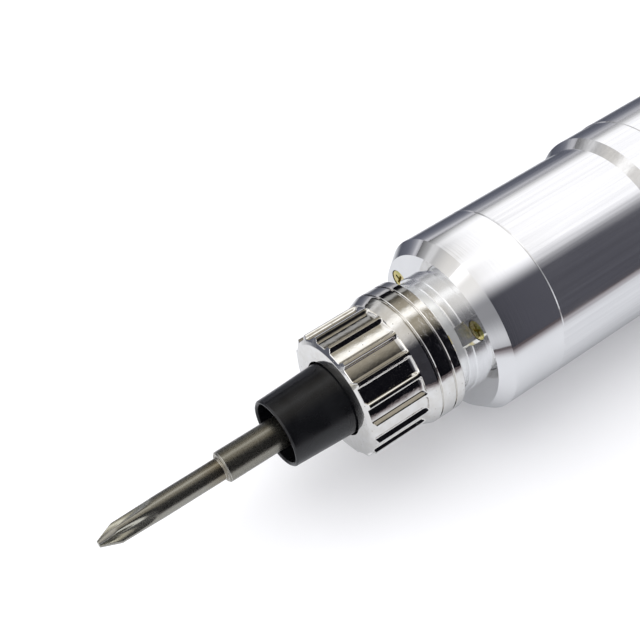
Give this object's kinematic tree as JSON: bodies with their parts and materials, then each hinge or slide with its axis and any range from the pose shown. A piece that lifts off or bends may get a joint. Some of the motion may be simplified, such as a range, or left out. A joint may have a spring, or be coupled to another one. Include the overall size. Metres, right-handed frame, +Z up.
{
  "type": "electric torque screwdriver",
  "caption": "Straight electric torque screwdriver with a slim bit, black quick-release sleeve, fluted chrome torque ring and round bare aluminium body lying on its side.",
  "frame": {"origin": "ground point under the middle of the tool's length and width, as it lies on its side", "axes": "+X along the tool axis from the bit tip to the cable socket, +Z up, +Y across"},
  "size_m": [0.2348, 0.0408, 0.0341],
  "materials": {
    "bit_steel": "satin ground tool steel",
    "steel": "machined steel",
    "black_steel": "satin black oxide",
    "spring_steel": "drawn spring wire",
    "ring_chrome": "bright chrome plate",
    "bare_aluminium": "turned and polished aluminium",
    "zinc_yellow": "yellow zinc plated steel",
    "bronze": "sintered bronze",
    "copper": "enamelled copper wire and copper bars",
    "lamination": "stacked electrical steel",
    "ferrite": "matt dark ferrite",
    "carbon": "pressed carbon",
    "black_plastic": "fine satin black moulding",
    "grey_plastic": "moulded grey plastic",
    "board_green": "glass-fibre circuit board with green mask"
  },
  "bodies": {
    "housing": {"torque_spring": "spring_steel", "clutch_plate": "steel", "clutch_balls": "steel", "nose_housing": "bare_aluminium", "spindle_bush": "bronze", "front_cap": "bare_aluminium", "face_screws": "zinc_yellow", "gear_case": "steel", "carrier_bush": "bronze", "motor_bearings": "bronze", "motor_front_plate": "steel", "motor_rear_plate": "black_plastic", "motor_can": "steel", "motor_magnets": "ferrite", "brush_holders": "bronze", "carbon_brushes": "carbon", "motor_tube": "bare_aluminium", "joint_collar": "bare_aluminium", "rear_housing": "bare_aluminium", "start_spring": "spring_steel", "start_switch": "black_plastic", "board_tray": "grey_plastic", "circuit_board": "board_green", "brake_relay": "black_plastic", "smoothing_capacitor": "black_plastic", "direction_switch": "black_plastic", "end_cap": "bare_aluminium", "end_cap_screws": "zinc_yellow", "power_socket": "steel", "socket_insulator": "black_plastic", "socket_pins": "bronze", "socket_nut": "steel"},
    "rotor": {"motor_shaft": "steel", "rotor_core": "lamination", "rotor_windings": "copper", "commutator": "copper"},
    "carrier": {"planet_carrier": "steel", "planet_pins": "steel"},
    "planet_1": {"planet_gear_1": "steel"},
    "planet_2": {"planet_gear_2": "steel"},
    "planet_3": {"planet_gear_3": "steel"},
    "start_rod": {"start_rod": "steel"},
    "spindle": {"spindle": "steel", "lock_balls": "steel", "sleeve_snap_ring": "spring_steel", "sleeve_spring": "spring_steel", "screwdriver_bit": "bit_steel"},
    "bit_sleeve": {"bit_sleeve": "black_steel"},
    "torque_pusher": {"thrust_washer": "steel", "push_pins": "steel", "spring_seat": "steel"},
    "torque_ring": {"torque_ring": "ring_chrome"},
    "direction_knob": {"direction_knob": "black_plastic"},
    "hanger_bail": {"hanger_bail": "spring_steel"}
  },
  "joints": [
    {"name": "rotor_spin", "type": "hinge", "parent": "housing", "child": "rotor", "pos_m": [-0.03338, 0, 0.0164], "axis": [1, 0, 0], "continuous": true},
    {"name": "carrier_spin", "type": "hinge", "parent": "housing", "child": "carrier", "pos_m": [-0.04838, 0, 0.0164], "axis": [1, 0, 0], "continuous": true},
    {"name": "planet_1_spin", "type": "hinge", "parent": "carrier", "child": "planet_1", "pos_m": [-0.04698, 0.00675, 0.0164], "axis": [1, 0, 0], "continuous": true},
    {"name": "planet_2_spin", "type": "hinge", "parent": "carrier", "child": "planet_2", "pos_m": [-0.04698, -0.00337, 0.02225], "axis": [1, 0, 0], "continuous": true},
    {"name": "planet_3_spin", "type": "hinge", "parent": "carrier", "child": "planet_3", "pos_m": [-0.04698, -0.00337, 0.01055], "axis": [1, 0, 0], "continuous": true},
    {"name": "start_press", "type": "slide", "parent": "housing", "child": "start_rod", "axis": [1, 0, 0], "range_m": [0, 0.0015], "stiffness_N_per_m": 2500, "springref_m": -0.0005, "deforming": ["start_spring"]},
    {"name": "spindle_spin", "type": "hinge", "parent": "start_rod", "child": "spindle", "pos_m": [-0.08238, 0, 0.0164], "axis": [1, 0, 0], "continuous": true},
    {"name": "sleeve_pull", "type": "slide", "parent": "spindle", "child": "bit_sleeve", "axis": [1, 0, 0], "range_m": [0, 0.0025], "stiffness_N_per_m": 1200, "springref_m": -0.0005, "deforming": ["sleeve_spring"]},
    {"name": "torque_travel", "type": "slide", "parent": "housing", "child": "torque_pusher", "axis": [1, 0, 0], "range_m": [-0.0015, 0.00075], "deforming": ["torque_spring"]},
    {"name": "torque_turn", "type": "hinge", "parent": "torque_pusher", "child": "torque_ring", "pos_m": [-0.07688, 0, 0.0164], "axis": [1, 0, 0], "range_deg": [-361, 181]},
    {"name": "direction_select", "type": "slide", "parent": "housing", "child": "direction_knob", "axis": [1, 0, 0], "range_m": [-0.002, 0.002]},
    {"name": "bail_swing", "type": "hinge", "parent": "housing", "child": "hanger_bail", "pos_m": [0.09362, 0, 0.0164], "axis": [0, -1, 0], "range_deg": [-90, 160]}
  ],
  "couplings": [
    {"joint": "carrier_spin", "follows": "rotor_spin", "ratio": 0.2},
    {"joint": "spindle_spin", "follows": "rotor_spin", "ratio": 0.2},
    {"joint": "planet_1_spin", "follows": "rotor_spin", "ratio": -0.53333},
    {"joint": "planet_2_spin", "follows": "rotor_spin", "ratio": -0.53333},
    {"joint": "planet_3_spin", "follows": "rotor_spin", "ratio": -0.53333},
    {"joint": "torque_turn", "follows": "torque_travel", "rad_per_m": 4188.8}
  ]
}
